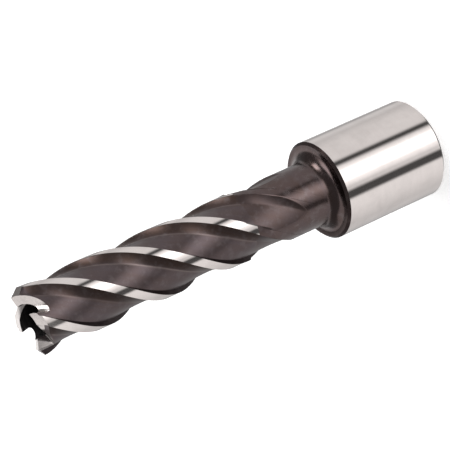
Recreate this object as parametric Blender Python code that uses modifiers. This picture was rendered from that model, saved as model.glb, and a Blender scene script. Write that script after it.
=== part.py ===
"""Annular cutter: a one-piece high-speed-steel hole cutter with a flatted drive shank.

The cutter stands on the back face of its shank, with its teeth up.
The origin is the centre of that back face, and +Z runs from the shank to the teeth.
Seen from the teeth it cuts counter-clockwise, and its four flutes are right-handed.
"""

import math

import bmesh
import bpy
from mathutils import Matrix, Vector

MM = 0.001

# Drive shank
SHANK_D = 19.05 * MM
SHANK_LENGTH = 23.15 * MM
SHANK_BACK_CHAMFER = 0.65 * MM
SHANK_FRONT_CHAMFER = 0.5 * MM
FLAT_DEPTH = 1.6 * MM
FLAT_LENGTH = 11.0 * MM
FLAT_SETBACK = 6.2 * MM
FLAT_ANGLES = (45.0, 135.0)

# Neck and fluted wall
NECK_D = 12.4 * MM
FILLET_RADIUS = 2.2 * MM
CUTTER_D = 12.7 * MM
CUTTER_LENGTH = 63.2 * MM
MARGIN_LENGTH = 45.0 * MM
MARGIN_END_CHAMFER = 0.1 * MM

# Bores
CORE_BORE_D = 6.6 * MM
CORE_BORE_DEPTH = 58.0 * MM
PILOT_BORE_D = 6.4 * MM
PILOT_BACK_CHAMFER = 0.6 * MM

# Flutes: arcs are degrees behind a leading edge, depths are below the cutter's outside
FLUTE_COUNT = 4
LEAD = 57.6 * MM
LEAD_EDGE_ANGLE = 3.0
MARGIN_ARC = 16.5
MARGIN_STEP = 0.1 * MM
LAND_BACK_ARC = 36.0
FLOOR_ARC = 50.0
FLUTE_DEPTH = 1.25 * MM
WALL_FOOT_ARC = 88.0
WALL_FOOT_DEPTH = 0.89 * MM

# Run-out of the flutes: how far they keep their depth, and the wheel that lifts out after that.
# The wheel stands slanted, so it lifts out sooner beside the wall, by the slant for each degree.
FULL_FLUTE_LENGTH = 46.9 * MM
RUN_OUT_RADIUS = 38.0 * MM
RUN_OUT_SLANT = 0.105 * MM
RUN_OUT_CLEAR = 0.4 * MM

# Teeth: high teeth with a roof-shaped edge alternate with low teeth whose edge is straight.
# Rises and drops are measured from the tip plane, which is the cutter's nominal length.
HIGH_APEX_RISE = 0.5 * MM
APEX_RADIUS = 5.05 * MM
HIGH_CORNER_DROP = 0.62 * MM
LOW_INNER_RISE = 0.3 * MM
LOW_CORNER_DROP = 0.36 * MM
PRIMARY_RELIEF = 11.5
HEEL_ARC = 20.0

# Gashes: one behind a high tooth is a round gullet, and one behind a low tooth a straight ramp
ROUND_GASH_DEPTH = 1.62 * MM
ROUND_GASH_RADIUS = 0.55 * MM
ROUND_GASH_FLOOR = 0.45 * MM
RAMP_GASH_DEPTH = 1.9 * MM
RAMP_GASH_RADIUS = 0.2 * MM
RAMP_GASH_FLOOR = 0.05 * MM
GASH_SLOPE = 0.6
GASH_TWIST_SHARE = 0.6
GASH_LEAD_INNER = 18.0

# Facets, and how far the cutting solids reach past what they cut
TURN_STEPS = 88
BORE_STEPS = 64
FILLET_STEPS = 8
HELIX_STEP = 6.0
FLUTE_FLOOR_STEPS = 6
RUN_OUT_STEPS = 14
GASH_CORNER_STEPS = 3
RAMP_STEPS = 3
SHARP_EDGE = 30.0
CLEAR = 2.0 * MM
CROWN_OVERRUN = 0.7 * MM

# Places that several features share
CUTTER_R = CUTTER_D / 2
CORE_R = CORE_BORE_D / 2
SHANK_R = SHANK_D / 2
TIP_Z = SHANK_LENGTH + CUTTER_LENGTH
APEX_Z = TIP_Z + HIGH_APEX_RISE
CORNER_Z = TIP_Z - LOW_CORNER_DROP
FLUTE_PITCH = 360.0 / FLUTE_COUNT
TWIST = 360.0 / LEAD


def steel(name, colour, roughness):
    """A Principled metal."""
    material = bpy.data.materials.new(name)
    material.use_nodes = True
    shader = material.node_tree.nodes["Principled BSDF"]
    shader.inputs["Base Color"].default_value = (*colour, 1.0)
    shader.inputs["Metallic"].default_value = 1.0
    shader.inputs["Roughness"].default_value = roughness
    return material


def collection(name):
    made = bpy.data.collections.new(name)
    bpy.context.scene.collection.children.link(made)
    return made


def object_from(source, name, home):
    """An object made from a bmesh, in the given collection."""
    mesh = bpy.data.meshes.new(name)
    source.to_mesh(mesh)
    source.free()
    made = bpy.data.objects.new(name, mesh)
    home.objects.link(made)
    return made


def turned(name, profile, home, steps):
    """A profile of (radius, height) points, top to bottom, turned about Z."""
    source = bmesh.new()
    verts = [source.verts.new((radius, 0.0, height)) for radius, height in profile]
    for first, second in zip(verts, verts[1:]):
        source.edges.new((first, second))
    made = object_from(source, name, home)
    screw = made.modifiers.new("Turn", "SCREW")
    screw.axis = "Z"
    screw.steps = steps
    screw.render_steps = steps
    screw.use_merge_vertices = True
    screw.merge_threshold = 0.000001
    return made


def as_cutter(made):
    made.hide_render = True
    made.display_type = "WIRE"
    return made


def cut(target, cutter, label):
    boolean = target.modifiers.new(label, "BOOLEAN")
    boolean.operation = "DIFFERENCE"
    boolean.solver = "EXACT"
    boolean.object = cutter


def finish(made):
    """Keeps the cut shape as the object's own mesh, smooth up to its sharp edges."""
    graph = bpy.context.evaluated_depsgraph_get()
    shape = bpy.data.meshes.new_from_object(made.evaluated_get(graph))
    made.modifiers.clear()
    made.data = shape
    shape.name = made.name
    shape.shade_smooth()
    shape.set_sharp_from_angle(angle=math.radians(SHARP_EDGE))


def arc(centre, radius, start, end, steps):
    """Points on an arc in the (radius, height) plane, angles in degrees."""
    points = []
    for step in range(steps + 1):
        angle = math.radians(start + (end - start) * step / steps)
        points.append((centre[0] + radius * math.cos(angle), centre[1] + radius * math.sin(angle)))
    return points


def polar(radius, degrees, height):
    angle = math.radians(degrees)
    return Vector((radius * math.cos(angle), radius * math.sin(angle), height))


def loft(loops, source, closed):
    """Faces between each loop of vertices and the next, and back to the first where it is closed."""
    following = loops[1:] + loops[:1] if closed else loops[1:]
    for lower, upper in zip(loops, following):
        for side in range(len(lower)):
            after = (side + 1) % len(lower)
            source.faces.new((lower[side], lower[after], upper[after], upper[side]))


def blank_profile():
    """Outline of the turned blank: from the axis at the tip, down the outside, to the axis at the back."""
    neck_r = NECK_D / 2
    margin_end = CORNER_Z - MARGIN_LENGTH
    fillet_centre = (neck_r + FILLET_RADIUS, SHANK_LENGTH + FILLET_RADIUS)
    profile = [(0.0, APEX_Z + CLEAR / 2), (CUTTER_R, APEX_Z + CLEAR / 2), (CUTTER_R, margin_end)]
    profile.append((neck_r, margin_end - MARGIN_END_CHAMFER))
    profile += arc(fillet_centre, FILLET_RADIUS, 180.0, 270.0, FILLET_STEPS)
    profile.append((SHANK_R - SHANK_FRONT_CHAMFER, SHANK_LENGTH))
    profile.append((SHANK_R, SHANK_LENGTH - SHANK_FRONT_CHAMFER))
    profile.append((SHANK_R, SHANK_BACK_CHAMFER))
    profile.append((SHANK_R - SHANK_BACK_CHAMFER, 0.0))
    profile.append((0.0, 0.0))
    return profile


def bore_profile():
    """The core bore from the tip, its drill cone, and the pilot pin hole out of the back."""
    pilot_r = PILOT_BORE_D / 2
    core_end = TIP_Z - CORE_BORE_DEPTH
    return [
        (0.0, APEX_Z + CLEAR),
        (CORE_R, APEX_Z + CLEAR),
        (CORE_R, core_end),
        (pilot_r, core_end - (CORE_R - pilot_r)),
        (pilot_r, PILOT_BACK_CHAMFER),
        (pilot_r + PILOT_BACK_CHAMFER + CLEAR, -CLEAR),
        (0.0, -CLEAR),
    ]


def flute_section():
    """The flute's section: (degrees behind the leading edge, radius), from the margin round to the wall."""
    floor_r = CUTTER_R - FLUTE_DEPTH
    wall_foot_rise = FLUTE_DEPTH - WALL_FOOT_DEPTH
    section = [(MARGIN_ARC, CUTTER_R + CLEAR), (MARGIN_ARC, CUTTER_R - MARGIN_STEP)]
    for step in range(FLUTE_FLOOR_STEPS + 1):
        behind = LAND_BACK_ARC + (WALL_FOOT_ARC - LAND_BACK_ARC) * step / FLUTE_FLOOR_STEPS
        share = (behind - FLOOR_ARC) / (WALL_FOOT_ARC - FLOOR_ARC)
        section.append((behind, floor_r + wall_foot_rise * share ** 2))
    section.append((FLUTE_PITCH, CUTTER_R))
    section.append((FLUTE_PITCH, CUTTER_R + CLEAR))
    return section


def flute_rings():
    """Stations of the sweep, as (height, lift): full depth first, then out on the wheel's radius."""
    start_z = APEX_Z + CLEAR + RUN_OUT_SLANT * (LAND_BACK_ARC - MARGIN_ARC)
    end_z = CORNER_Z - FULL_FLUTE_LENGTH
    spacing = HELIX_STEP / TWIST
    rings = [(start_z - spacing * step, 0.0) for step in range(int((start_z - end_z) / spacing) + 1)]
    lift = FLUTE_DEPTH + RUN_OUT_CLEAR
    run_out = math.sqrt(lift * (2 * RUN_OUT_RADIUS - lift))
    for step in range(RUN_OUT_STEPS + 1):
        travel = run_out * step / RUN_OUT_STEPS
        rings.append((end_z - travel, RUN_OUT_RADIUS - math.sqrt(RUN_OUT_RADIUS ** 2 - travel ** 2)))
    return rings


def flute_cutter(index, home):
    """One flute: its section swept down the helix, with its stations slanted as the wheel is."""
    source = bmesh.new()
    loops = []
    for station, lift in flute_rings():
        loop = []
        for behind, radius in flute_section():
            height = station + RUN_OUT_SLANT * (behind - LAND_BACK_ARC)
            turn = LEAD_EDGE_ANGLE + FLUTE_PITCH * index + TWIST * (height - TIP_Z)
            loop.append(source.verts.new(polar(radius + lift, turn - behind, height)))
        loops.append(loop)
    loft(loops, source, closed=False)
    source.faces.new(loops[0])
    source.faces.new(loops[-1])
    bmesh.ops.recalc_face_normals(source, faces=source.faces)
    return as_cutter(object_from(source, f"flute_cutter_{index + 1}", home))


def between(radius, inner, outer):
    """A value that runs straight from the core bore to the cutter's outside."""
    return inner + (outer - inner) * (radius - CORE_R) / (CUTTER_R - CORE_R)


def edge_height(radius, high):
    """Height of a tooth's cutting edge at a radius."""
    if not high:
        return TIP_Z + between(radius, LOW_INNER_RISE, -LOW_CORNER_DROP)
    if radius > APEX_RADIUS:
        slope = (HIGH_APEX_RISE + HIGH_CORNER_DROP) / (CUTTER_R - APEX_RADIUS)
    else:
        slope = -HIGH_APEX_RISE / (APEX_RADIUS - CORE_R)
    return APEX_Z - slope * (radius - APEX_RADIUS)


def ramp_depth(share, rounded):
    """Depth of the ramp behind a heel, as a share of the drop to the gash's floor."""
    return (share + math.sin(share * math.pi / 2)) / 2 if rounded else share


def gash_points(radius, high):
    """One gash at a radius, from a tooth's edge forward to the heel of the tooth ahead: (degrees, height).

    The gash in front of a low tooth is the round one, because the tooth ahead of it is a high one.
    """
    depth, corner, floor = RAMP_GASH_DEPTH, RAMP_GASH_RADIUS, RAMP_GASH_FLOOR
    if not high:
        depth, corner, floor = ROUND_GASH_DEPTH, ROUND_GASH_RADIUS, ROUND_GASH_FLOOR
    degree = math.radians(1.0) * radius
    lead = between(radius, GASH_LEAD_INNER, 0.0)
    floor_z = TIP_Z - depth - GASH_SLOPE * (radius - CORE_R)
    foot_z = floor_z + corner
    edge_z = edge_height(radius, high)
    foot = lead - GASH_TWIST_SHARE * TWIST * (edge_z - foot_z)
    points = [(lead, edge_z), (foot, foot_z)]
    for step in range(GASH_CORNER_STEPS):
        angle = math.pi / 2 * (step + 1) / GASH_CORNER_STEPS
        points.append((foot + corner * (1 - math.cos(angle)) / degree, foot_z - corner * math.sin(angle)))
    floor_end = points[-1][0] + floor / degree
    heel = FLUTE_PITCH - HEEL_ARC
    relief = math.tan(math.radians(PRIMARY_RELIEF)) * (lead + HEEL_ARC) * degree
    heel_z = edge_height(radius, not high) - relief
    for step in range(RAMP_STEPS + 1):
        share = 1 - step / RAMP_STEPS
        drop = (heel_z - floor_z) * ramp_depth(share, rounded=not high)
        points.append((heel + (floor_end - heel) * share, heel_z - drop))
    return points


def crown_cutter(home):
    """Everything above the teeth and inside their gashes: a ring lofted between sections at a few radii."""
    radii = (CORE_R - CROWN_OVERRUN, (CORE_R + APEX_RADIUS) / 2, APEX_RADIUS, CUTTER_R + CROWN_OVERRUN)
    source = bmesh.new()
    loops = []
    for radius in radii:
        loop = []
        for index in range(FLUTE_COUNT):
            turn = LEAD_EDGE_ANGLE + FLUTE_PITCH * index
            for ahead, height in gash_points(radius, high=index % 2 == 0):
                loop.append(source.verts.new(polar(radius, turn + ahead, height)))
        loops.append(loop)
    for loop in (loops[-1], loops[0]):
        loops.append([source.verts.new((vert.co.x, vert.co.y, APEX_Z + CLEAR)) for vert in loop])
    loft(loops, source, closed=True)
    bmesh.ops.recalc_face_normals(source, faces=source.faces)
    return as_cutter(object_from(source, "crown_cutter", home))


def flat_cutter(index, home):
    """A block that mills one drive flat across the shank."""
    size = Vector((SHANK_R, SHANK_D, FLAT_LENGTH))
    reach = SHANK_R - FLAT_DEPTH + size.x / 2
    source = bmesh.new()
    bmesh.ops.create_cube(source, size=1.0)
    bmesh.ops.scale(source, vec=size, verts=source.verts)
    bmesh.ops.translate(source, vec=(reach, 0.0, FLAT_SETBACK + FLAT_LENGTH / 2), verts=source.verts)
    turn = Matrix.Rotation(math.radians(FLAT_ANGLES[index]), 3, "Z")
    bmesh.ops.rotate(source, matrix=turn, verts=source.verts)
    return as_cutter(object_from(source, f"flat_cutter_{index + 1}", home))


def main():
    for old in list(bpy.data.objects):
        bpy.data.objects.remove(old, do_unlink=True)
    parts = collection("annular_cutter")
    cutters = collection("annular_cutter_cutters")

    body = turned("cutter_body", blank_profile(), parts, TURN_STEPS)
    body.data.materials.append(steel("ground_steel", (0.62, 0.60, 0.58), 0.28))
    cut(body, as_cutter(turned("bore_cutter", bore_profile(), cutters, BORE_STEPS)), "Bore")
    cut(body, crown_cutter(cutters), "Crown")
    for index in range(FLUTE_COUNT):
        cut(body, flute_cutter(index, cutters), f"Flute {index + 1}")
    for index in range(len(FLAT_ANGLES)):
        cut(body, flat_cutter(index, cutters), f"Flat {index + 1}")
    finish(body)


main()
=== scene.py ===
"""Looks of the annular cutter: a fine surface over the faceted solid, its finishes and the studio."""

import bpy
import numpy as np
from mathutils import Matrix, Vector


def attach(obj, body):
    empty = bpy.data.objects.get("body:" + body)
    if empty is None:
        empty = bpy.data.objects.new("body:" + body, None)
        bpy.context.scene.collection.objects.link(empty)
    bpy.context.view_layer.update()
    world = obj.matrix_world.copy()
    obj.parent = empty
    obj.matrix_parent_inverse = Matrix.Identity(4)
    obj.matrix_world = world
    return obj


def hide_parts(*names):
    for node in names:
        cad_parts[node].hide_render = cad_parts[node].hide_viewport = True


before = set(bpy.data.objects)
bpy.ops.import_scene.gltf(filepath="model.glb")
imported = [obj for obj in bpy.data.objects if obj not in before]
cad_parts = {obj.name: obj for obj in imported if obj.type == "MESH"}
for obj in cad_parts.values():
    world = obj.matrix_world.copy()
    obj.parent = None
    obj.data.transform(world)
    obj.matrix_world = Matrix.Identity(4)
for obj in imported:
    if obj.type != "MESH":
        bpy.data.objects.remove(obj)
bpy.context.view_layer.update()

# Units: sizes are in millimetres and degrees, and the meshes in metres
MM = 0.001
IN_MM = 1.0 / MM

# The least difference that counts where two sizes are compared
HAIR = 1e-6

# Shank, neck and bore, as on the solid
SHANK_R = 9.525
SHANK_LENGTH = 23.15
SHANK_BACK_CHAMFER = 0.65
SHANK_FRONT_CHAMFER = 0.5
FLAT_DISTANCE = 7.925
FLAT_START = 6.2
FLAT_END = 17.2
FLAT_ANGLES = (45.0, 135.0)
NECK_R = 6.2
FILLET_RADIUS = 2.2
CUTTER_R = 6.35
TIP_Z = 86.35
CORE_R = 3.3
CORE_END_Z = 28.35
PILOT_R = 3.2
PILOT_BACK_CHAMFER = 0.6

# Flutes
TEETH = 4
PITCH = 90.0
TWIST = 360.0 / 57.6
LEAD_EDGE_ANGLE = 3.0
MARGIN_ARC = 16.5
MARGIN_STEP = 0.1
LAND_BACK_ARC = 36.0
FLOOR_ARC = 50.0
FLOOR_R = 5.1
WALL_FOOT_ARC = 88.0
WALL_FOOT_R = 5.46
CREASE_ROUND = 0.05
CREASE_REACH = 12.0
FULL_FLUTE_LENGTH = 46.9
RUN_OUT_RADIUS = 38.0
RUN_OUT_SLANT = 0.105
MARGIN_LENGTH = 45.0
MARGIN_END_CHAMFER = 0.1

# Teeth
LOW_INNER_RISE = 0.3
LOW_CORNER_DROP = 0.36
HIGH_APEX_RISE = 0.5
APEX_RADIUS = 5.05
HIGH_CORNER_DROP = 0.62
PRIMARY_RELIEF = 11.5
HEEL_ARC = 20.0
ROUND_GASH = {"depth": 1.62, "corner": 0.55, "floor": 0.45}
RAMP_GASH = {"depth": 1.9, "corner": 0.2, "floor": 0.05}
GASH_SLOPE = 0.6
GASH_TWIST_SHARE = 0.6
GASH_LEAD_INNER = 18.0

# Heights that follow from these
CORNER_Z = TIP_Z - LOW_CORNER_DROP
MARGIN_END_Z = CORNER_Z - MARGIN_LENGTH
FULL_FLUTE_Z = CORNER_Z - FULL_FLUTE_LENGTH
NECK_END_Z = SHANK_LENGTH + FILLET_RADIUS

# Grid steps along a gash
RAKE_STEPS, BEND_STEPS, RAMP_STEPS, RELIEF_STEPS = 8, 12, 20, 12
RAMP_KNOT = RAKE_STEPS + BEND_STEPS + 1
HEEL_KNOT = RAMP_KNOT + RAMP_STEPS
GASH_KNOTS = HEEL_KNOT + RELIEF_STEPS

# Grid steps round the cutter, in degrees: fine ones ahead of a leading edge and on both sides of the crease
FINE_STEP = 0.7
COARSE_STEP = 1.8
LEAST_STEP = 0.05
FINE_LEAD = 26.0
CREASE_SIDE = 4.0

# How finely the places are looked for where an outline crosses a radius
SEARCH_STEP = 0.01
HALVINGS = 40

# Grid steps along a column, from the pilot hole over the crown to the back face
PILOT_ROWS = 3
BORE_STEPS = 12
BORE_CROWDING = 0.6
BORE_SETTLED = 6.0
CROWN_INNER_STEPS, CROWN_OUTER_STEPS = 12, 8
WALL_STEPS, RUN_OUT_STEPS, NECK_STEPS, FILLET_STEPS = 95, 40, 12, 16
FRONT_ROWS, FLAT_ROWS, BACK_ROWS = 6, 8, 5
BACK_FACE_STEPS = 4

# How far below the margin's foot its columns pass into the neck: at the leading edge, and an arc behind it
MARGIN_LEAVE_ARC = 20.0
MARGIN_LEAVE_DROPS = (0.5, 3.5)
LEAST_LEAVE_DROP = 0.4

# A wall that comes this close to the neck's radius has no run-out of its own
NECK_REACH = 1e-3

# Finish of the crown and of the flutes
# Painted shade: one high tooth's ramp gets the flute's dark finish past a slanted line from this radius
SHADED_RAMP_GASH = 2
RAMP_SHADE_R = 5.2
RAMP_SHADE_SLOPE = 16.8
GROUND_PAST_RIDGE = 0.02
RIDGE_MASK_SLOPE = 40.0
ALL_GROUND = 4.0
GREY_ARC = (28.0, 40.0)
NECK_GREY = 0.5
# Painted highlight: a pale line painted along the flute's crease, where the crease catches the light
CREASE_HIGHLIGHT_ARC = LAND_BACK_ARC + 0.5
CREASE_HIGHLIGHT_WIDTH = 1.8
SHARP_ANGLE = 12.0


def between(radius, inner, outer):
    """A value that runs straight from the core bore to the cutter's outside."""
    return inner + (outer - inner) * (radius - CORE_R) / (CUTTER_R - CORE_R)


def shares(steps):
    """Even shares from 0 to 1, one a row."""
    return np.linspace(0.0, 1.0, steps + 1)[:, None]


def edge_height(radius, high):
    """The cutting edge's height: a straight line on a low tooth, a roof with a ridge on a high one."""
    inner = TIP_Z + HIGH_APEX_RISE * (radius - CORE_R) / (APEX_RADIUS - CORE_R)
    fall = (HIGH_APEX_RISE + HIGH_CORNER_DROP) / (CUTTER_R - APEX_RADIUS)
    outer = TIP_Z + HIGH_APEX_RISE - fall * (radius - APEX_RADIUS)
    low = TIP_Z + between(radius, LOW_INNER_RISE, -LOW_CORNER_DROP)
    return np.where(high, np.minimum(inner, outer), low)


def gash(radius, high):
    """One gash at each radius, from a tooth's edge forward to the next: (degrees ahead, height) on axis 0.

    The rake is a straight line down from the edge and the gullet a quarter circle. The ramp climbs from the
    gullet's floor to the next heel: straight in front of a high tooth, and on the mean of a line and a sine
    in front of a low one. The relief is a straight line from the heel up to the next edge.
    """
    radius = np.asarray(radius, dtype=float)
    steps = lambda values: values.reshape(-1, *[1] * radius.ndim)
    either = lambda key: np.where(high, RAMP_GASH[key], ROUND_GASH[key])
    corner = either("corner")
    degree = np.radians(1.0) * radius
    lead = between(radius, GASH_LEAD_INNER, 0.0)
    edge = edge_height(radius, high)
    next_edge = edge_height(radius, ~high)
    floor_z = TIP_Z - either("depth") - GASH_SLOPE * (radius - CORE_R)
    foot_z = floor_z + corner
    foot = lead - GASH_TWIST_SHARE * TWIST * (edge - foot_z)
    floor_end = foot + (corner + either("floor")) / degree
    heel = PITCH - HEEL_ARC
    heel_z = next_edge - np.tan(np.radians(PRIMARY_RELIEF)) * (lead + HEEL_ARC) * degree

    rake = steps(np.linspace(0.0, 1.0, RAKE_STEPS + 1))
    bend = steps(np.linspace(0.0, np.pi / 2, BEND_STEPS + 1)[1:])
    ramp = steps(np.linspace(1.0, 0.0, RAMP_STEPS + 1))
    relief = steps(np.linspace(0.0, 1.0, RELIEF_STEPS + 1)[1:])
    drop = np.where(high, ramp, (ramp + np.sin(ramp * np.pi / 2)) / 2)
    ahead = [
        lead + (foot - lead) * rake,
        foot + corner * (1 - np.cos(bend)) / degree,
        heel + (floor_end - heel) * ramp,
        heel + (lead + PITCH - heel) * relief]
    height = [
        edge + (foot_z - edge) * rake,
        foot_z - corner * np.sin(bend),
        heel_z - (heel_z - floor_z) * drop,
        heel_z + (next_edge - heel_z) * relief]
    return np.concatenate(ahead), np.concatenate(height)


def chord(angle, start, start_r, end, end_r):
    """Radius of the straight line between two points that are given by angle and radius."""
    first, last, at = np.radians(start), np.radians(end), np.radians(angle)
    across = start_r * np.sin(at - first) + end_r * np.sin(last - at)
    return start_r * end_r * np.sin(last - first) / across


def flute_radius(behind):
    """The flute's radius at an angle behind a leading edge: land back, floor, wall up to the next margin.

    The floor's radius grows with the square of the angle from its lowest line. The land back is a chord
    that runs into it through a small round: the mean of the two radii, plus half the root of the sum of
    their squared difference and the round's square.
    """
    rise = (WALL_FOOT_R - FLOOR_R) / (WALL_FOOT_ARC - FLOOR_ARC) ** 2
    floor = FLOOR_R + rise * (behind - FLOOR_ARC) ** 2
    land_foot = FLOOR_R + rise * (LAND_BACK_ARC - FLOOR_ARC) ** 2
    land = chord(behind, MARGIN_ARC, CUTTER_R - MARGIN_STEP, LAND_BACK_ARC, land_foot)
    wall = chord(behind, WALL_FOOT_ARC, WALL_FOOT_R, PITCH, CUTTER_R)
    rounded = (land + floor + np.hypot(land - floor, CREASE_ROUND)) / 2
    near_land = np.where(behind < LAND_BACK_ARC + CREASE_REACH, rounded, floor)
    return np.where(behind > WALL_FOOT_ARC, wall, near_land)


def crown_edge(high, knot):
    """Where a point of a gash comes out on the wall, in degrees forward of its tooth's edge, by halving."""
    low, top = CORE_R, CUTTER_R
    for _ in range(HALVINGS):
        middle = (low + top) / 2
        ahead, height = gash(middle, np.array(high))
        forward = (ahead[knot] - TWIST * (height[knot] - TIP_Z)) % PITCH
        wall = CUTTER_R if forward > PITCH - MARGIN_ARC else flute_radius(PITCH - forward)
        low, top = (middle, top) if wall > middle else (low, middle)
    return float(forward)


def column_angles(high):
    """Degrees forward of a leading edge, and the wall's radius there; the margin's step has two columns."""
    fan = np.arange(MARGIN_ARC, LAND_BACK_ARC, SEARCH_STEP)
    neck_corner = PITCH - fan[np.argmax(flute_radius(fan) < NECK_R)]
    crease = PITCH - LAND_BACK_ARC
    margin_start = PITCH - MARGIN_ARC
    keys = np.sort([
        0.0, PITCH - WALL_FOOT_ARC, FINE_LEAD, crease - CREASE_SIDE, crease, crease + CREASE_SIDE,
        neck_corner, margin_start, PITCH, crown_edge(high, 0), crown_edge(high, HEEL_KNOT)])
    angles = [np.zeros(1)]
    for start, end in zip(keys, keys[1:]):
        if end - start > LEAST_STEP:
            near_crease = abs((start + end) / 2 - crease) < CREASE_SIDE
            step = FINE_STEP if start < FINE_LEAD or near_crease else COARSE_STEP
            angles.append(np.linspace(start, end, int(np.ceil((end - start) / step)) + 1)[1:])
    angles = np.concatenate(angles)[:-1]
    margin = angles > margin_start - HAIR
    first = int(np.argmax(margin))
    radii = np.where(margin | (angles == 0.0), CUTTER_R, flute_radius(PITCH - angles))
    return np.insert(angles, first, angles[first]), np.insert(radii, first, CUTTER_R - MARGIN_STEP)


def body_columns():
    """All columns round the cutter: helix angle, wall radius, and degrees behind the next leading edge."""
    found = []
    for tooth in range(TEETH):
        angles, radii = column_angles(tooth % 2 == 0)
        found.append(np.array([LEAD_EDGE_ANGLE + PITCH * tooth + angles, radii, PITCH - angles]))
    return np.concatenate(found, axis=1)


def crown_radii(wall):
    """Radii across the crown, with one row on the ridge of the high teeth."""
    inner = CORE_R + (APEX_RADIUS - CORE_R) * shares(CROWN_INNER_STEPS) + 0.0 * wall
    outer = APEX_RADIUS + (wall - APEX_RADIUS) * shares(CROWN_OUTER_STEPS)[1:]
    return np.concatenate([inner, outer])


def ground_share(radius, ahead, start):
    """How far a crown point lies inside the bright ground faces: below zero it has the flute's dark finish.

    The relief is ground all over. In front of a low tooth the gash is ground inside the radius of the high
    ridge and dark outside it. In front of a high tooth it is ground all over, apart from the ramp of one
    gash: there painted shade darkens it past a slanted line that runs from the heel in to the core bore.
    """
    behind = PITCH - ahead
    if start % 2:
        inside_ridge = (APEX_RADIUS + GROUND_PAST_RIDGE - radius) * RIDGE_MASK_SLOPE
        return np.maximum(HEEL_ARC - behind, inside_ridge)
    share = np.full(ahead.shape, ALL_GROUND)
    # Painted shade on this one ramp only, in the flute's dark colour
    if start == SHADED_RAMP_GASH:
        line = HEEL_ARC + RAMP_SHADE_SLOPE * np.maximum(RAMP_SHADE_R - radius, 0.0) - behind
        share[RAMP_KNOT:] = line[RAMP_KNOT:]
    return share


def all_gashes(radius):
    """The gashes end to end, the last one also before the first: angle, height and ground share."""
    angles, heights, grounds = [], [], []
    for start in range(-1, TEETH):
        ahead, height = gash(radius, np.full(radius.shape, start % 2 == 0))
        last = len(ahead) if start == TEETH - 1 else len(ahead) - 1
        turn = LEAD_EDGE_ANGLE + PITCH * start
        angles.append(ahead[:last] - TWIST * (height[:last] - TIP_Z) + turn)
        heights.append(height[:last])
        grounds.append(ground_share(radius, ahead, start)[:last])
    return np.concatenate(angles), np.concatenate(heights), np.concatenate(grounds)


def unfolded(place):
    """The columns' places along the gashes, evened out so that they only grow from one column to the next.

    In front of a leading edge the flute's wall cuts in so steeply that the places there turn back. Those
    that a later column undercuts are spaced evenly between the ones that are kept.
    """
    turn = TEETH * GASH_KNOTS
    laps = np.concatenate([place - turn, place, place + turn])
    kept = laps <= np.minimum.accumulate(laps[::-1])[::-1]
    even = np.interp(np.arange(len(laps)), np.flatnonzero(kept), laps[kept])
    return even[len(place):2 * len(place)]


def crown_rows(helix, wall):
    """The crown from the core bore to the wall: radius, helix angle, height and ground share.

    Each column keeps the place along the gashes that it has where it meets the wall, so ridges, heels and
    gullets run along columns. Inside the ridge of the high teeth the places are evened out, so that no
    column turns back, and outside it they pass into the wall's with the square of the way.
    """
    radius = crown_radii(wall)
    angle, height, ground = all_gashes(radius)
    at_wall = angle[:, -1, :]
    last = len(at_wall) - 2
    column = np.arange(len(helix))
    knot = np.clip((at_wall <= helix).sum(axis=0) - 1, 0, last)
    before, after = at_wall[knot, column], at_wall[knot + 1, column]
    at_edge = knot + (helix - before) / np.maximum(after - before, HAIR)
    evened = unfolded(at_edge)
    outward = np.clip((radius - APEX_RADIUS) / (wall - APEX_RADIUS), 0.0, 1.0) ** 2
    place = evened + (at_edge - evened) * outward
    knot = np.clip(np.floor(place).astype(int), 0, last)
    share = place - knot
    row = np.arange(len(radius))[:, None]
    pick = lambda table: table[knot, row, column] * (1 - share) + table[knot + 1, row, column] * share
    return radius, pick(angle), pick(height), pick(ground)


def wheel_travel(gap):
    """How far the grinding wheel travels before its circle has lifted it by a gap."""
    gap = np.clip(gap, 0.0, None)
    return np.sqrt(gap * (2 * RUN_OUT_RADIUS - gap))


def wall_radius(wall, behind, height):
    """The wall's radius lower down: the flute's section, lifted on the wheel's circle as it runs out."""
    station = height - RUN_OUT_SLANT * (behind - LAND_BACK_ARC)
    travel = np.clip(FULL_FLUTE_Z - station, 0.0, RUN_OUT_RADIUS)
    return wall + RUN_OUT_RADIUS - np.sqrt(RUN_OUT_RADIUS ** 2 - travel ** 2)


def twisted(helix, height):
    """Angle round the axis of a point on a helix column at a height."""
    return helix + TWIST * (height - TIP_Z)


def bore_blocks(helix, crown_helix, crown_z):
    """The pilot pin's hole and the core bore, whose columns turn slowly to where they meet the crown."""
    pilot_z = np.linspace(PILOT_BACK_CHAMFER, CORE_END_Z - (CORE_R - PILOT_R), PILOT_ROWS)[:, None]
    bore_z = CORE_END_Z + (crown_z - CORE_END_Z) * shares(BORE_STEPS)[:-1] ** BORE_CROWDING
    settled = np.clip((bore_z - CORE_END_Z) / (crown_z - BORE_SETTLED - CORE_END_Z), 0.0, 1.0)
    bore_angle = twisted(helix + (crown_helix - helix) * settled, np.maximum(bore_z, NECK_END_Z))
    return [
        (PILOT_R, twisted(helix, NECK_END_Z), pilot_z, "bore"),
        (CORE_R, bore_angle, bore_z, "bore")]


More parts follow.
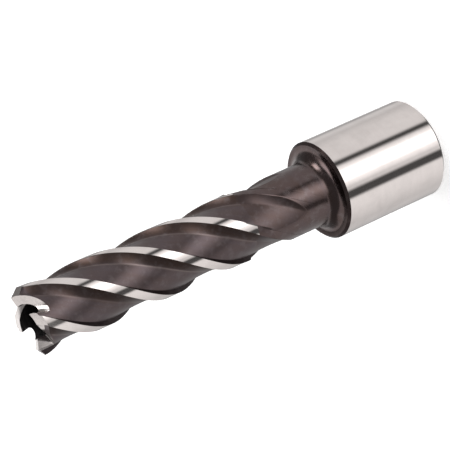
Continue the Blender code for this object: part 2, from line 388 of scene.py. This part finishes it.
def flute_blocks(helix, wall, behind, top_z):
    """The fluted wall, the margin's end, the flute's run-out and the neck down to the fillet.

    A flute's column leaves the wall where the wheel's circle has lifted it to the neck's radius, and a
    margin's column a little below the margin's foot.
    """
    wall_z = top_z + (MARGIN_END_Z - top_z) * shares(WALL_STEPS)[1:]
    margin_foot = MARGIN_END_Z - MARGIN_END_CHAMFER
    leave_z = FULL_FLUTE_Z - wheel_travel(NECK_R - wall) + RUN_OUT_SLANT * (behind - LAND_BACK_ARC)
    on_margin = margin_foot - np.interp(behind, (0.0, MARGIN_LEAVE_ARC), MARGIN_LEAVE_DROPS)
    leave_z = np.where(wall > NECK_R - NECK_REACH, on_margin, leave_z)
    leave_z = np.minimum(leave_z, margin_foot - LEAST_LEAVE_DROP)
    run_z = margin_foot + (leave_z - margin_foot) * shares(RUN_OUT_STEPS)
    run_r = np.minimum(NECK_R, wall_radius(wall, behind, run_z))
    neck_z = leave_z + (NECK_END_Z - leave_z) * shares(NECK_STEPS)[1:]
    return [
        (wall_radius(wall, behind, wall_z), twisted(helix, wall_z), wall_z, "wall"),
        (run_r, twisted(helix, run_z), run_z, "run_out"),
        (NECK_R, twisted(helix, neck_z), neck_z, "neck")]


def turned_from(angle, places):
    """How far each angle lies from each place, one place a row, between minus and plus half a turn."""
    return (angle[None, :] - np.array(places)[:, None] + 180.0) % 360.0 - 180.0


def shank_angles(angle):
    """The shank's columns: the body's, moved a little so that four of them lie on the flats' edges."""
    half = np.degrees(np.arccos(FLAT_DISTANCE / SHANK_R))
    edges = [centre + side * half for centre in FLAT_ANGLES for side in (-1.0, 1.0)]
    away = turned_from(angle, edges)
    nearest = np.argmin(np.abs(away), axis=1)
    offset = -away[np.arange(len(edges)), nearest]
    order = np.argsort(nearest)
    return angle + np.interp(np.arange(len(angle)), nearest[order], offset[order], period=len(angle))


def flat_radius(angle):
    """The shank's radius where the drive flats are: the lesser of the circle and each flat's plane."""
    facing = np.cos(np.radians(turned_from(angle, FLAT_ANGLES)))
    planes = FLAT_DISTANCE / np.maximum(facing, FLAT_DISTANCE / SHANK_R)
    return planes.min(axis=0)


def shank_blocks(helix):
    """The fillet, the shoulder, the shank with its flats and chamfers, and the back face."""
    deep = twisted(helix, NECK_END_Z)
    angle = shank_angles(deep)
    turn = shares(FILLET_STEPS)[1:] * np.pi / 2
    fillet_r = NECK_R + FILLET_RADIUS * (1 - np.cos(turn))
    front_z = SHANK_LENGTH - SHANK_FRONT_CHAMFER
    back_r = SHANK_R - SHANK_BACK_CHAMFER
    hole_r = PILOT_R + PILOT_BACK_CHAMFER
    inward = shares(BACK_FACE_STEPS)[1:]
    rows = lambda start, end, count: np.linspace(start, end, count)[:, None]
    return [
        (fillet_r, deep, NECK_END_Z - FILLET_RADIUS * np.sin(turn), "neck"),
        (SHANK_R - SHANK_FRONT_CHAMFER, angle, SHANK_LENGTH, "rim"),
        (SHANK_R, angle, rows(front_z, FLAT_END, FRONT_ROWS), "shank"),
        (flat_radius(angle), angle, rows(FLAT_END, FLAT_START, FLAT_ROWS), "shank"),
        (SHANK_R, angle, rows(FLAT_START, SHANK_BACK_CHAMFER, BACK_ROWS), "shank"),
        (back_r, angle, 0.0, "back"),
        (back_r + (hole_r - back_r) * inward, angle + (deep - angle) * inward, 0.0, "back")]


def body_grid():
    """The whole cutter as one closed grid: radius, angle, height, finish by row, ground share, arc behind.

    Each column is a closed profile: up the pilot hole and the core bore, over the crown, down the wall, the
    neck and the shank, and across the back face. The columns follow the helix, so the angle is the helix
    angle plus the twist times the height.
    """
    helix, wall, behind = body_columns()
    crown_r, crown_helix, crown_z, ground = crown_rows(helix, wall)
    blocks = [
        *bore_blocks(helix, crown_helix[0], crown_z[0]),
        (crown_r, twisted(crown_helix, crown_z), crown_z, "tooth"),
        *flute_blocks(helix, wall, behind, crown_z[-1]),
        *shank_blocks(helix)]
    whole = [np.broadcast_arrays(*block[:3], np.zeros((1, len(helix))))[:3] for block in blocks]
    radius, angle, height = (np.concatenate(part) for part in zip(*whole))
    finish = np.repeat([block[3] for block in blocks], [len(part[0]) for part in whole])
    mask = np.zeros(radius.shape)
    mask[finish == "tooth"] = ground
    return radius, np.radians(angle), height, finish, mask, behind


def grid_faces(rows, count):
    """Quads between each row and the next and each column and the next, both closed."""
    row, column = np.meshgrid(np.arange(rows), np.arange(count), indexing="ij")
    down, right = (row + 1) % rows, (column + 1) % count
    corners = [row * count + column, down * count + column, down * count + right, row * count + right]
    return np.stack([corner.ravel() for corner in corners], axis=1)


def mesh_object(name, points, faces):
    """A mesh object from arrays of points in metres and of quads."""
    mesh = bpy.data.meshes.new(name)
    mesh.vertices.add(len(points))
    mesh.vertices.foreach_set("co", points.ravel())
    mesh.loops.add(faces.size)
    mesh.loops.foreach_set("vertex_index", faces.ravel().astype(np.int32))
    mesh.polygons.add(len(faces))
    mesh.polygons.foreach_set("loop_start", np.arange(len(faces), dtype=np.int32) * 4)
    mesh.update(calc_edges=True)
    mesh.validate()
    made = bpy.data.objects.new(name, mesh)
    bpy.context.scene.collection.objects.link(made)
    return made


def point_values(mesh, name, values):
    """A number on each point of a mesh, for a material to read."""
    layer = mesh.attributes.new(name, "FLOAT", "POINT")
    layer.data.foreach_set("value", values.ravel().astype(np.float32))


class Wire:
    """One output in a node tree. Arithmetic on it adds Math nodes, and node() adds any other node."""

    def __init__(self, tree, socket=None):
        self.tree = tree
        self.socket = socket

    def node(self, kind, settings=None, values=None, output=0):
        """A node of a type: its settings first, then its sockets' values or links; gives one output."""
        made = self.tree.nodes.new(kind)
        for key, value in (settings or {}).items():
            if key == "stops":
                self.set_stops(made.color_ramp, value)
            else:
                setattr(made, key, value)
        for key, value in (values or {}).items():
            self.plug(made.inputs[key], value)
        return Wire(self.tree, made.outputs[output])

    def set_stops(self, ramp, stops):
        """The stops of a colour ramp, as (position, colour)."""
        while len(ramp.elements) < len(stops):
            ramp.elements.new(1.0)
        for element, (position, colour) in zip(ramp.elements, stops):
            element.position = position
            element.color = (*colour, 1.0)

    def plug(self, socket, value):
        """Links a wire to a socket, or sets the socket to a number or a colour."""
        if isinstance(value, Wire):
            self.tree.links.new(value.socket, socket)
        elif socket.type == "RGBA":
            socket.default_value = (*value, 1.0)
        else:
            socket.default_value = value

    def split(self):
        """The three numbers of a vector."""
        first = self.node("ShaderNodeSeparateXYZ", None, {"Vector": self})
        return [Wire(self.tree, socket) for socket in first.socket.node.outputs]

    def math(self, operation, first, second=0.0):
        """The result of a Math node."""
        return self.node("ShaderNodeMath", {"operation": operation}, {0: first, 1: second})

    def __add__(self, other):
        return self.math("ADD", self, other)

    __radd__ = __add__

    def __sub__(self, other):
        return self.math("SUBTRACT", self, other)

    def __rsub__(self, other):
        return self.math("SUBTRACT", other, self)

    def __mul__(self, other):
        return self.math("MULTIPLY", self, other)

    __rmul__ = __mul__

    def __truediv__(self, other):
        return self.math("DIVIDE", self, other)

    def __rtruediv__(self, other):
        return self.math("DIVIDE", other, self)

    def ease(self, start, end, low=0.0, high=1.0):
        """Runs smoothly from low to high while this value runs from start to end."""
        values = {"Value": self, "From Min": start, "From Max": end, "To Min": low, "To Max": high}
        return self.node("ShaderNodeMapRange", {"interpolation_type": "SMOOTHSTEP"}, values)

    def blend(self, first, second):
        """A colour between two, with this value as the share of the second."""
        settings = {"data_type": "RGBA", "clamp_factor": True}
        return self.node("ShaderNodeMix", settings, {0: self, 6: first, 7: second}, output=2)


class Finish(Wire):
    """A material's node tree, with the coordinates that the finishes are drawn in."""

    def __init__(self, name):
        self.material = bpy.data.materials.new(name)
        self.material.use_nodes = True
        super().__init__(self.material.node_tree)
        self.shader = self.tree.nodes["Principled BSDF"]
        self.x, self.y, self.z = self.node("ShaderNodeTexCoord", output="Object").split()

    def vector(self, x, y, z):
        """Three numbers as one vector."""
        return self.node("ShaderNodeCombineXYZ", None, {"X": x, "Y": y, "Z": z})

    def noise(self, vector, scale, detail):
        """Noise of 0 to 1 in three dimensions."""
        return self.node("ShaderNodeTexNoise", None, {"Vector": vector, "Scale": scale, "Detail": detail})

    def turning_lines(self, spacing, stretch=24.0):
        """Lines round the axis, as a turned or ground face has them: noise squeezed along the axis."""
        across = IN_MM / stretch
        flat = self.vector(self.x * across, self.y * across, self.z * IN_MM)
        return self.noise(flat, 1.0 / spacing, detail=3.0)

    def flute_lines(self, spacing, stretch=30.0):
        """Lines along the helix: noise in coordinates that the twist turns back, squeezed across."""
        turn = self.z * (-IN_MM * np.radians(TWIST))
        sine = self.math("SINE", turn)
        cosine = self.math("COSINE", turn)
        x = (self.x * cosine - self.y * sine) * IN_MM
        y = (self.x * sine + self.y * cosine) * IN_MM
        return self.noise(self.vector(x, y, self.z * (IN_MM / stretch)), 1.0 / spacing, detail=3.0)

    def mottle(self, size, detail=3.0):
        """Soft blotches of about a size in millimetres."""
        place = self.vector(self.x * IN_MM, self.y * IN_MM, self.z * IN_MM)
        return self.noise(place, 1.0 / size, detail)

    def attribute(self, name):
        """A number that the mesh holds on its points."""
        return self.node("ShaderNodeAttribute", {"attribute_name": name}, output="Fac")

    def relief(self, height, depth):
        """Bump from a height of 0 to 1, with its depth in millimetres."""
        values = {"Strength": 1.0, "Distance": depth * MM, "Height": height}
        return self.node("ShaderNodeBump", None, values)

    def surface(self, colour, roughness, normal, metallic=1.0):
        """The finished material."""
        values = {"Base Color": colour, "Roughness": roughness, "Metallic": metallic, "Normal": normal}
        for key, value in values.items():
            self.plug(self.shader.inputs[key], value)
        return self.material


STEEL = (0.675, 0.62, 0.60)
STEEL_WORN = (0.59, 0.54, 0.522)
OXIDE_BROWN = (0.094, 0.062, 0.052)
OXIDE_GREY = (0.102, 0.080, 0.084)
OXIDE_PALE = (0.165, 0.137, 0.138)
# Pale colour of the painted highlight along the crease
CREASE_HIGHLIGHT_PALE = (0.34, 0.28, 0.26)
# Near black of the bore: dark oxide deepened by painted shade in the recess
BORE_SHADE_BLACK = (0.012, 0.010, 0.010)
BORE_WORN = (0.03, 0.026, 0.026)


def ground_shank():
    """Cylindrically ground steel: fine lines round the shank, and faint marks from handling."""
    finish = Finish("ground_shank_steel")
    fine = finish.turning_lines(spacing=0.12)
    broad = finish.turning_lines(spacing=0.9, stretch=10.0)
    marks = finish.mottle(size=3.0)
    wear = marks.ease(0.35, 0.75) * 0.6 + broad.ease(0.3, 0.8) * 0.2
    roughness = 0.05 + fine * 0.04 + marks.ease(0.4, 0.8) * 0.03
    return finish.surface(wear.blend(STEEL, STEEL_WORN), roughness, finish.relief(fine, depth=0.0011))


def ground_margin():
    """Ground margins: fine lines along the land, brighter than the flutes beside them."""
    finish = Finish("ground_margin_steel")
    fine = finish.flute_lines(spacing=0.14)
    marks = finish.mottle(size=2.0)
    wear = marks.ease(0.35, 0.75) * 0.5 + fine.ease(0.3, 0.8) * 0.3
    roughness = 0.05 + fine * 0.05
    return finish.surface(wear.blend(STEEL, STEEL_WORN), roughness, finish.relief(fine, depth=0.0012))


def steam_oxide(name, lines, dullness):
    """Dark steam-treated steel: brown to purple-grey patches, pale smears and specks, and a painted
    highlight along the crease.

    The land backs are browner and the flutes' floors greyer. The grain's lines run along the helix or round
    the axis.
    """
    finish = Finish(name)
    grain = lines(finish, spacing=0.16)
    broad = lines(finish, spacing=0.8)
    patch = finish.mottle(size=5.0, detail=4.0)
    speck = finish.mottle(size=0.25)
    smear = finish.mottle(size=1.3, detail=5.0).ease(0.48, 0.72)
    grey = finish.attribute("flute_floor") * 0.6 + patch.ease(0.3, 0.7) * 0.3 + broad.ease(0.35, 0.7) * 0.2
    pale = smear * 0.45 + speck.ease(0.62, 0.75) * 0.3
    # Painted highlight: the crease line lifts the colour towards pale, more where the broad noise is high
    line = finish.attribute("crease_line") * (0.1 + broad.ease(0.3, 0.7) * 0.3)
    colour = line.blend(pale.blend(grey.blend(OXIDE_BROWN, OXIDE_GREY), OXIDE_PALE), CREASE_HIGHLIGHT_PALE)
    roughness = dullness + grain * 0.1 + speck * 0.06 + smear * 0.06
    return finish.surface(colour, roughness, finish.relief(grain * 0.7 + speck * 0.3, depth=0.0022))


def ground_tooth():
    """The crown: bright gritty ground steel, and dark oxide past the ragged edge of the ground share,
    painted shade on one ramp.
    """
    finish = Finish("ground_tooth_steel")
    grit = finish.mottle(size=0.16, detail=4.0)
    marks = finish.mottle(size=0.7)
    edge = finish.attribute("ground_mask") + (marks - 0.5) * 1.5
    dark = edge.ease(-0.7, 0.7, 1.0, 0.0)
    wear = marks.ease(0.3, 0.75) * 0.6 + grit.ease(0.4, 0.7) * 0.3
    colour = dark.blend(wear.blend(STEEL, STEEL_WORN), OXIDE_GREY)
    roughness = 0.17 + grit * 0.12 + dark * 0.08
    return finish.surface(colour, roughness, finish.relief(grit, depth=0.004))


def bore_wall():
    """The bore: dark steam oxide, made near black inside by painted shade."""
    finish = Finish("bore_oxide_painted_shade")
    lines = finish.turning_lines(spacing=0.3)
    colour = lines.ease(0.3, 0.8).blend(BORE_SHADE_BLACK, BORE_WORN)
    return finish.surface(colour, 0.5 + lines * 0.15, finish.relief(lines, depth=0.004), metallic=0.3)


ROW_SLOTS = {
    "bore": "bore", "tooth": "tooth", "wall": "flute", "run_out": "flute", "neck": "neck", "rim": "neck",
    "shank": "shank", "back": "shank"}


def face_slots(row_finish, behind, slots):
    """The slot number of each face, by its row, with the wall parted by columns into margins and flutes.

    A face lies between its row and the next, so those that touch a wall row on either side are the wall's.
    """
    found = np.repeat([slots.index(ROW_SLOTS[name]) for name in row_finish], len(behind))
    found = found.reshape(len(row_finish), len(behind))
    at_wall = (row_finish == "wall") | (np.roll(row_finish, -1) == "wall")
    on_margin = behind <= MARGIN_ARC + HAIR
    found[at_wall[:, None] & on_margin] = slots.index("margin")
    found[at_wall[:, None] & ~on_margin] = slots.index("flute")
    return found


# Cutter
radius, angle, height, row_finish, ground_mask, behind = body_grid()
points = np.stack([radius * np.cos(angle), radius * np.sin(angle), height], axis=-1).reshape(-1, 3) * MM
cutter = mesh_object("ground_cutter", points, grid_faces(*radius.shape))
mesh = cutter.data
mesh.shade_smooth()
mesh.set_sharp_from_angle(angle=np.radians(SHARP_ANGLE))

wall_rows = (row_finish == "wall")[:, None]
floor_grey = np.clip((behind - GREY_ARC[0]) / (GREY_ARC[1] - GREY_ARC[0]), 0.0, 1.0)
# Where the painted highlight along the crease lies on the wall
crease_line = np.exp(-((behind - CREASE_HIGHLIGHT_ARC) / CREASE_HIGHLIGHT_WIDTH) ** 2)
point_values(mesh, "ground_mask", ground_mask)
point_values(mesh, "flute_floor", np.where(wall_rows, floor_grey, NECK_GREY))
point_values(mesh, "crease_line", np.where(wall_rows, crease_line, 0.0))

materials = {
    "shank": ground_shank(),
    "margin": ground_margin(),
    "flute": steam_oxide("flute_steam_oxide", Finish.flute_lines, dullness=0.27),
    "neck": steam_oxide("neck_steam_oxide", Finish.turning_lines, dullness=0.14),
    "tooth": ground_tooth(),
    "bore": bore_wall(),
}
for material in materials.values():
    mesh.materials.append(material)
slot_numbers = face_slots(row_finish, behind, list(materials))
mesh.polygons.foreach_set("material_index", slot_numbers.ravel().astype(np.int32))
mesh.update()

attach(cutter, "root")
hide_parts("cutter_body")

# Camera, from the photograph's own perspective: where it stands, and its back and up directions
SENSOR_WIDTH = 36.0
LENS = 180.32
NEAREST = 0.01
CAMERA_PLACE = (0.00129798, -0.36090905, 0.23242142)
CAMERA_BACK = Vector((0.0, -0.8860418, 0.46360535))
CAMERA_UP = Vector((0.91104382, -0.19114891, -0.3653235))

scene = bpy.context.scene
camera_data = bpy.data.cameras.new("camera")
camera_data.sensor_width = SENSOR_WIDTH
camera_data.lens = LENS
camera_data.clip_start = NEAREST
camera = bpy.data.objects.new("camera", camera_data)
scene.collection.objects.link(camera)
facing = Matrix((CAMERA_UP.cross(CAMERA_BACK), CAMERA_UP, CAMERA_BACK)).transposed().to_4x4()
camera.matrix_world = Matrix.Translation(CAMERA_PLACE) @ facing
scene.camera = camera

# Studio light by direction, in degrees: compass angle round the object and height above its horizon.
# The low room is the level of the pale ring round the horizon by compass angle.
LOW_ROOM = (
    (-180, 0.95), (-165, 1.05), (-147, 1.10), (-120, 0.95), (-111, 0.90), (-105, 1.28), (-99, 1.50),
    (-91, 2.50), (-75, 2.50), (-69, 1.60), (-64, 1.25), (-59, 0.98), (-43, 0.90), (-38, 0.95),
    (-20, 0.97), (3, 0.92), (27, 0.74), (42, 0.85), (51, 0.74), (60, 0.42), (69, 0.52), (75, 0.74),
    (87, 0.70), (99, 0.38), (108, 0.46), (117, 0.58), (135, 0.74), (153, 0.76), (180, 0.95))
LOW_ROOM_TOP = 2.6
LOW_ROOM_EDGE = (-18.0, -6.0)
LOW_ROOM_FOOT = (-51.0, -43.0)
FOOT_LEVEL = 0.22

# The low softbox lifts the ring's upper edge, and two dark flags stand in the ring beside it
LOW_SOFTBOX = {"side": (-110, -62), "soft": 4.0, "lift": 18.0}
FLAGS = ((-138.0, -118.5), (-57.5, -46.0))
FLAG_HEIGHT = (-39.0, -21.5)
FLAG_SIDE_SOFT, FLAG_HEIGHT_SOFT = 4.5, 1.5
FLAG_DARKNESS = 0.91

# The dimmer room above, with its softboxes
HIGH_ROOM = 0.22
HIGH_SOFTBOXES = (
    {"side": (-27, -2), "height": (8, 36), "level": 6.0},
    {"side": (70, 90), "height": (-8, 48), "level": 1.2},
    {"side": (101, 115), "height": (-4, 60), "level": 1.0},
    {"side": (115, 165), "height": (32, 84), "level": 1.0},
    {"side": (-5, 100), "height": (56, 88), "level": 3.3})
SOFTBOX_SIDE_SOFT, SOFTBOX_HEIGHT_SOFT = 3.0, 4.0


def inside(value, limits, soft):
    """One between two limits and nothing outside them, with soft edges that many degrees to either side."""
    first, last = limits
    return value.ease(first - soft, first + soft) * value.ease(last - soft, last + soft, 1.0, 0.0)


def studio_level(room, azimuth, elevation):
    """The room's level by direction: the low ring with its flags, and the dim room with its softboxes."""
    stops = [((side + 180) / 360, (level / LOW_ROOM_TOP,) * 3) for side, level in LOW_ROOM]
    ring = room.node("ShaderNodeValToRGB", {"stops": stops}, {"Fac": (azimuth + 180.0) / 360.0})
    low = ring * LOW_ROOM_TOP
    at_flags = inside(elevation, FLAG_HEIGHT, FLAG_HEIGHT_SOFT) * FLAG_DARKNESS
    for flag in FLAGS:
        low = low * (1.0 - inside(azimuth, flag, FLAG_SIDE_SOFT) * at_flags)
    low = FOOT_LEVEL + (low - FOOT_LEVEL) * elevation.ease(*LOW_ROOM_FOOT)
    high = HIGH_ROOM
    for box in HIGH_SOFTBOXES:
        across = inside(azimuth, box["side"], SOFTBOX_SIDE_SOFT)
        share = across * inside(elevation, box["height"], SOFTBOX_HEIGHT_SOFT)
        high = high + share * (box["level"] - HIGH_ROOM)
    at_softbox = inside(azimuth, LOW_SOFTBOX["side"], LOW_SOFTBOX["soft"])
    lifted = elevation - at_softbox * LOW_SOFTBOX["lift"]
    return high + (low - high) * lifted.ease(*LOW_ROOM_EDGE, 1.0, 0.0)


def studio_world():
    """The studio as a world: the camera sees plain white, and everything else the room."""
    world = bpy.data.worlds.new("studio")
    world.use_nodes = True
    room = Wire(world.node_tree)
    x, y, z = room.node("ShaderNodeTexCoord", output="Generated").split()
    azimuth = room.math("ARCTAN2", y, x) * np.degrees(1.0)
    elevation = room.math("ARCSINE", z) * np.degrees(1.0)
    seen = room.node("ShaderNodeLightPath", output="Is Camera Ray")
    background = world.node_tree.nodes["Background"]
    room.plug(background.inputs["Color"], (1.0, 1.0, 1.0))
    room.plug(background.inputs["Strength"], seen + (1.0 - seen) * studio_level(room, azimuth, elevation))
    return world


# Floor: its half width in metres, and the glow that brings it up to white for the camera
FLOOR_HALF = 3.0
FLOOR_PALE = (0.98, 0.98, 0.98)
FLOOR_DULLNESS = 0.9
FLOOR_LIFT = 0.55


def pale_floor():
    """A pale floor that lets the low studio light through and shows in no reflection."""
    sides = ((-1, -1), (1, -1), (1, 1), (-1, 1))
    floor_mesh = bpy.data.meshes.new("floor")
    floor_mesh.from_pydata([(x * FLOOR_HALF, y * FLOOR_HALF, 0.0) for x, y in sides], [], [(0, 1, 2, 3)])
    made = bpy.data.objects.new("floor", floor_mesh)
    bpy.context.scene.collection.objects.link(made)
    finish = Finish("pale_floor")
    seen = finish.node("ShaderNodeLightPath", output="Is Camera Ray")
    settings = {
        "Base Color": FLOOR_PALE, "Roughness": FLOOR_DULLNESS, "Specular IOR Level": 0.0,
        "Emission Color": (1.0, 1.0, 1.0), "Emission Strength": seen * FLOOR_LIFT}
    for key, value in settings.items():
        finish.plug(finish.shader.inputs[key], value)
    floor_mesh.materials.append(finish.material)
    made.visible_glossy = False
    made.visible_shadow = False
    return made


scene.world = studio_world()
floor = pale_floor()

scene.view_settings.view_transform = "Standard"
